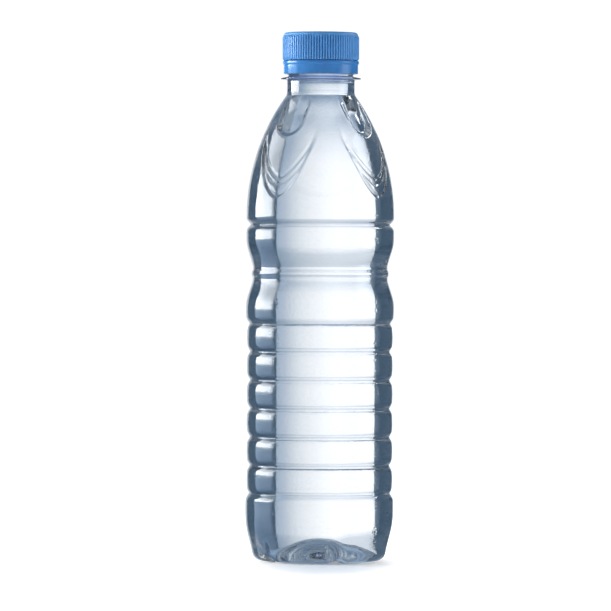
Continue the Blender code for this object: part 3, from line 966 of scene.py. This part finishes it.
def shade_world(world, side, ahead_stops, rear_stops):
    """Radiance by elevation, from one set of stops towards +Y and another towards -Y.

    The two blend between the side's angles from +Y.
    """
    world.use_nodes = True
    tree = world.node_tree
    place = tree.nodes.new("ShaderNodeTexCoord")
    flat = tree.nodes.new("ShaderNodeVectorMath")
    flat.operation = "MULTIPLY"
    flat.inputs[1].default_value = (1.0, 1.0, 0.0)
    unit = tree.nodes.new("ShaderNodeVectorMath")
    unit.operation = "NORMALIZE"
    ahead = tree.nodes.new("ShaderNodeSeparateXYZ")
    whole = tree.nodes.new("ShaderNodeSeparateXYZ")
    share = tree.nodes.new("ShaderNodeMapRange")
    share.interpolation_type = "SMOOTHSTEP"
    share.inputs["From Min"].default_value = math.cos(math.radians(side[0]))
    share.inputs["From Max"].default_value = math.cos(math.radians(side[1]))
    upward = tree.nodes.new("ShaderNodeMapRange")
    upward.inputs["From Min"].default_value = -1.0
    both = tree.nodes.new("ShaderNodeMix")
    both.data_type = "RGBA"
    tree.links.new(place.outputs["Generated"], flat.inputs[0])
    tree.links.new(flat.outputs["Vector"], unit.inputs[0])
    tree.links.new(unit.outputs["Vector"], ahead.inputs["Vector"])
    tree.links.new(place.outputs["Generated"], whole.inputs["Vector"])
    tree.links.new(ahead.outputs["Y"], share.inputs["Value"])
    tree.links.new(whole.outputs["Z"], upward.inputs["Value"])
    for socket, levels in (("A", ahead_stops), ("B", rear_stops)):
        stops = [(0.5 + 0.5 * math.sin(math.radians(elevation)), tone) for elevation, tone in levels]
        tree.links.new(colour_ramp(tree, upward.outputs["Result"], stops), both.inputs[socket])
    tree.links.new(share.outputs["Result"], both.inputs["Factor"])
    tree.links.new(both.outputs["Result"], tree.nodes["Background"].inputs["Color"])


WORLD_LOW = ((-75.0, (0.50, 0.59, 0.69)), (-60.0, (0.27, 0.36, 0.47)), (-45.0, (0.12, 0.19, 0.28)))
AHEAD_DARK = (0.038, 0.076, 0.127)
AHEAD_DIM = (0.08, 0.125, 0.185)
WORLD_AHEAD = WORLD_LOW + ((-34.0, (0.12, 0.18, 0.26)), (-26.0, (0.05, 0.095, 0.155)))
WORLD_AHEAD += ((-18.0, AHEAD_DARK), (6.0, AHEAD_DARK), (13.0, AHEAD_DIM), (30.0, AHEAD_DIM))
WORLD_AHEAD += ((53.0, (0.16, 0.24, 0.35)),)
REAR_DIM = (0.08, 0.17, 0.29)
REAR_PALE = (0.66, 0.76, 0.86)
REAR_DARK = (0.03, 0.10, 0.19)
WORLD_REAR = WORLD_LOW + ((-34.0, SURROUND_GAP), (38.0, SURROUND_GAP), (44.0, REAR_DIM))
WORLD_REAR += ((52.0, REAR_DIM), (55.0, REAR_PALE), (64.0, REAR_PALE), (67.0, REAR_DARK))
WORLD_REAR += ((79.0, REAR_DARK), (86.0, (0.10, 0.20, 0.32)))
world = bpy.data.worlds.new("studio")
shade_world(world, (74.0, 88.0), WORLD_AHEAD, WORLD_REAR)
bpy.context.scene.world = world

CAMERA_DISTANCE = 2.42
CAMERA_HEIGHT = 0.1195
CAMERA_SIDE = -0.0059
PICTURE_CENTRE = 0.105
PICTURE_WIDTH = 0.2505
ROLL = math.radians(0.22)

camera = bpy.data.cameras.new("camera")
camera.sensor_width = 36.0
camera.lens = camera.sensor_width * CAMERA_DISTANCE / PICTURE_WIDTH
camera.clip_start = 0.1
camera.clip_end = 20.0
viewer = bpy.data.objects.new("camera", camera)
tilt = math.atan((CAMERA_HEIGHT - PICTURE_CENTRE) / CAMERA_DISTANCE)
turn = Matrix.Rotation(math.pi / 2.0 - tilt, 4, "X") @ Matrix.Rotation(ROLL, 4, "Z")
viewer.matrix_world = Matrix.Translation((CAMERA_SIDE, -CAMERA_DISTANCE, CAMERA_HEIGHT)) @ turn
bpy.context.scene.collection.objects.link(viewer)
bpy.context.scene.camera = viewer

CLEAR_BOUNCES = 24
scene = bpy.context.scene
scene.view_settings.view_transform = "Standard"
scene.cycles.use_denoising = True
scene.cycles.max_bounces = CLEAR_BOUNCES
scene.cycles.transmission_bounces = CLEAR_BOUNCES
scene.cycles.transparent_max_bounces = CLEAR_BOUNCES
scene.cycles.glossy_bounces = 8
